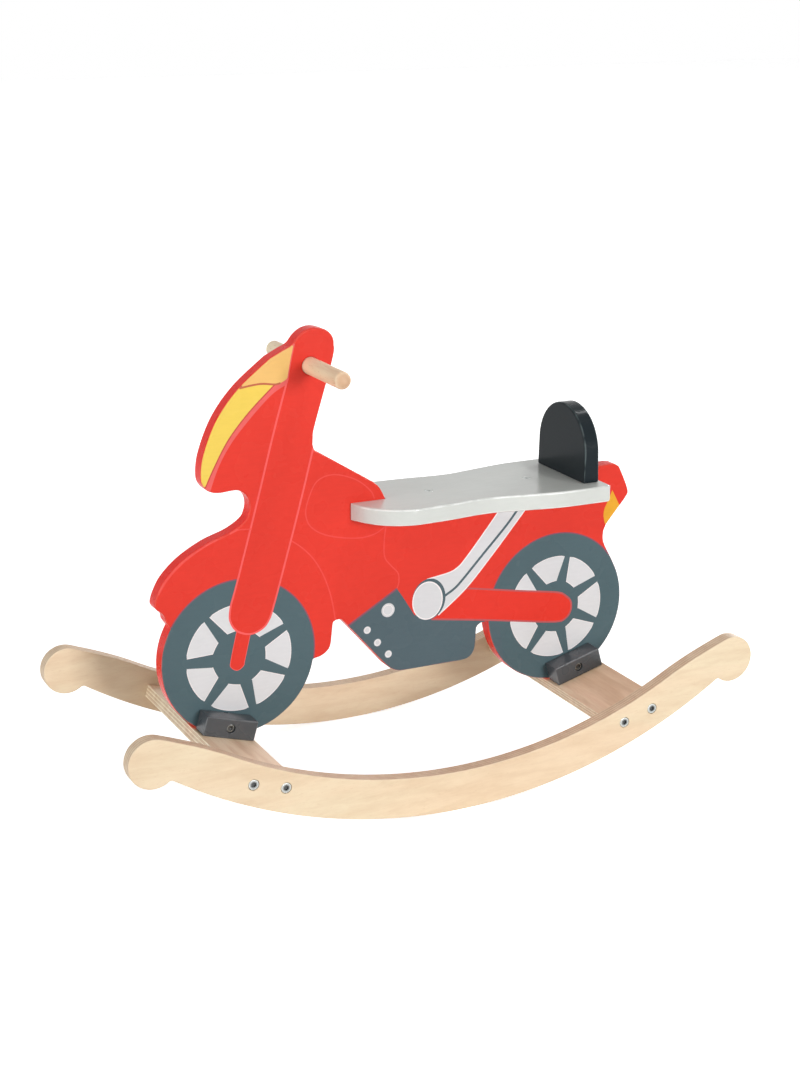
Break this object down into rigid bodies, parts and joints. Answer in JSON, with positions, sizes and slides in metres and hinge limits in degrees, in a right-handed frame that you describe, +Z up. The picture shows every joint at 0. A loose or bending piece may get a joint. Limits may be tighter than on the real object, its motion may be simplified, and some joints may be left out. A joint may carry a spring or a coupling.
{
  "type": "rocking motorcycle",
  "caption": "Child's wooden rocking motorcycle: a flat motorcycle-shaped board stands between curved rockers, with a slotted seat, a backrest and a dowel handlebar.",
  "frame": {"origin": "on the floor, under the middle of the board, half way between the two wheels and half way along the rockers", "axes": "+X towards the tail, +Y towards the rider's right hand, +Z up; the motorcycle faces -X"},
  "size_m": [0.7998, 0.33, 0.548],
  "materials": {
    "painted_body_board": "satin paint with red, dark grey, white, orange and yellow panels",
    "painted_seat": "light grey satin paint",
    "painted_backrest": "dark grey satin paint",
    "dowel_wood": "clear-varnished beech",
    "rocker_plywood": "clear-varnished birch plywood",
    "slat_plywood": "clear-varnished plywood",
    "painted_blocks": "dark grey gloss paint",
    "fastener_steel": "bright zinc"
  },
  "bodies": {
    "root": {"body_board": "painted_body_board", "seat": "painted_seat", "backrest": "painted_backrest", "handlebar": "dowel_wood", "left_rocker": "rocker_plywood", "right_rocker": "rocker_plywood", "front_slat": "slat_plywood", "front_left_block": "painted_blocks", "front_right_block": "painted_blocks", "rear_slat": "slat_plywood", "rear_left_block": "painted_blocks", "rear_right_block": "painted_blocks", "front_left_rocker_bolt_1": "fastener_steel", "front_left_barrel_nut_1": "fastener_steel", "front_left_block_screw_1": "fastener_steel", "front_left_rocker_bolt_2": "fastener_steel", "front_left_barrel_nut_2": "fastener_steel", "front_left_block_screw_2": "fastener_steel", "front_right_rocker_bolt_1": "fastener_steel", "front_right_barrel_nut_1": "fastener_steel", "front_right_block_screw_1": "fastener_steel", "front_right_rocker_bolt_2": "fastener_steel", "front_right_barrel_nut_2": "fastener_steel", "front_right_block_screw_2": "fastener_steel", "front_wheel_bolt": "fastener_steel", "front_sleeve_nut": "fastener_steel", "front_seat_screw": "fastener_steel", "rear_left_rocker_bolt_1": "fastener_steel", "rear_left_barrel_nut_1": "fastener_steel", "rear_left_block_screw_1": "fastener_steel", "rear_left_rocker_bolt_2": "fastener_steel", "rear_left_barrel_nut_2": "fastener_steel", "rear_left_block_screw_2": "fastener_steel", "rear_right_rocker_bolt_1": "fastener_steel", "rear_right_barrel_nut_1": "fastener_steel", "rear_right_block_screw_1": "fastener_steel", "rear_right_rocker_bolt_2": "fastener_steel", "rear_right_barrel_nut_2": "fastener_steel", "rear_right_block_screw_2": "fastener_steel", "rear_wheel_bolt": "fastener_steel", "rear_sleeve_nut": "fastener_steel", "rear_seat_screw": "fastener_steel", "left_backrest_screw": "fastener_steel", "right_backrest_screw": "fastener_steel"}
  },
  "joints": []
}
